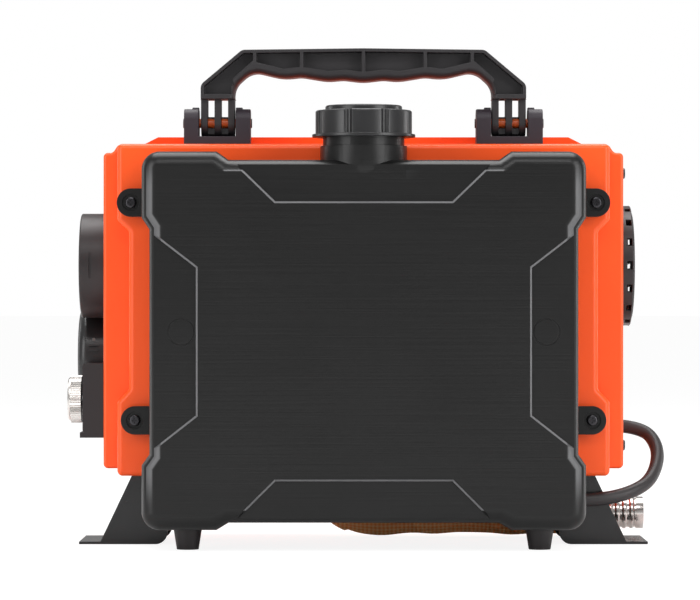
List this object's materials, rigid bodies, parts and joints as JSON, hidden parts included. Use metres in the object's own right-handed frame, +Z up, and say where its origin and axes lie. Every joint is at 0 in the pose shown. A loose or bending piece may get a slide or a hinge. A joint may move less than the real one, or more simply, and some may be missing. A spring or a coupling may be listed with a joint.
{
  "type": "diesel air heater",
  "caption": "Portable diesel air heater in an upright box case, with a blow-moulded tank, folding handle, knob, duct collar, intake grille, sheet legs and corrugated exhaust.",
  "frame": {"origin": "on the floor, under the middle of the heater's overall width and depth", "axes": "+X to the right seen from the tank side, from the knob to the exhaust; +Y from the tank to the front of the case; +Z up"},
  "size_m": [0.4486, 0.2396, 0.3696],
  "materials": {
    "case_orange": "satin moulded plastic",
    "tank_black": "blow-moulded, fine drag lines",
    "handle_black": "satin moulded plastic",
    "cap_black": "glossy moulded plastic",
    "fitting_black": "satin moulded plastic",
    "pivot_orange": "satin moulded plastic",
    "rubber_black": "matte",
    "screw_black": "black zinc",
    "leg_paint": "satin powder coat",
    "stainless": "bright rolled",
    "zinc_steel": "zinc plated",
    "cast_aluminium": "cast",
    "knob_silver": "satin, knurled",
    "sleeve_weave": "woven glass fibre",
    "lens_glass": "clear over black",
    "board_green": "circuit board",
    "lamp_white": "diffusing",
    "foam_grey": "foam"
  },
  "bodies": {
    "root": {"front_shell": "case_orange", "rear_shell": "case_orange", "shell_gasket": "rubber_black", "shell_screws": "screw_black", "fuel_tank": "tank_black", "tank_feet": "rubber_black", "tank_screws": "screw_black", "left_handle_bracket": "handle_black", "right_handle_bracket": "handle_black", "handle_pins": "pivot_orange", "bracket_screws": "screw_black", "left_leg": "leg_paint", "right_leg": "leg_paint", "leg_screws": "screw_black", "outlet_collar": "fitting_black", "outlet_guard": "zinc_steel", "intake_grille": "fitting_black", "side_screws": "screw_black", "heater_lower_housing": "cast_aluminium", "heater_upper_housing": "fitting_black", "heater_cradle": "zinc_steel", "heat_exchanger": "cast_aluminium", "burner_tube": "stainless", "glow_plug": "zinc_steel", "blower_housing": "cast_aluminium", "fan_motor": "zinc_steel", "intake_seal": "foam_grey", "control_unit": "fitting_black", "overheat_sensor": "fitting_black", "exhaust_riser": "stainless", "exhaust_pipe": "stainless", "exhaust_sleeve": "sleeve_weave", "exhaust_clamp": "stainless", "air_filter": "fitting_black", "tank_outlet_elbow": "fitting_black", "fuel_hose": "rubber_black", "hose_clips": "zinc_steel", "hose_grommet": "rubber_black", "fuel_filter": "fitting_black", "fuel_pump": "zinc_steel", "feed_line": "rubber_black", "pump_mount": "rubber_black", "delivery_line": "fitting_black", "controller_box": "fitting_black", "controller_board": "board_green", "encoder_body": "zinc_steel", "display_pod": "cap_black", "display_lens": "lens_glass", "status_lamp": "lamp_white", "wiring_harness": "rubber_black", "power_socket": "fitting_black"},
    "handle": {"handle": "handle_black"},
    "cap_carrier": {"cap_gasket": "rubber_black"},
    "cap": {"filler_cap": "cap_black"},
    "encoder": {"encoder_shaft": "zinc_steel"},
    "knob": {"control_knob": "knob_silver"},
    "fan": {"fan_shaft": "zinc_steel", "main_fan": "fitting_black", "combustion_fan": "cast_aluminium"}
  },
  "joints": [
    {"name": "handle_fold", "type": "hinge", "parent": "root", "child": "handle", "pos_m": [0.00315, -0.0095, 0.3142], "axis": [-1, 0, 0], "range_deg": [0, 75]},
    {"name": "cap_lift", "type": "slide", "parent": "root", "child": "cap_carrier", "axis": [0, 0, 1], "range_m": [0, 0.06]},
    {"name": "cap_turn", "type": "hinge", "parent": "cap_carrier", "child": "cap", "pos_m": [0.00315, -0.0845, 0.31], "axis": [0, 0, 1], "continuous": true},
    {"name": "knob_press", "type": "slide", "parent": "root", "child": "encoder", "axis": [1, 0, 0], "range_m": [0, 0.0006], "stiffness_N_per_m": 800},
    {"name": "knob_turn", "type": "hinge", "parent": "encoder", "child": "knob", "pos_m": [-0.21285, 0.0045, 0.1075], "axis": [-1, 0, 0], "continuous": true},
    {"name": "fan_spin", "type": "hinge", "parent": "root", "child": "fan", "pos_m": [0.08315, 0.032, 0.208], "axis": [-1, 0, 0], "continuous": true}
  ]
}
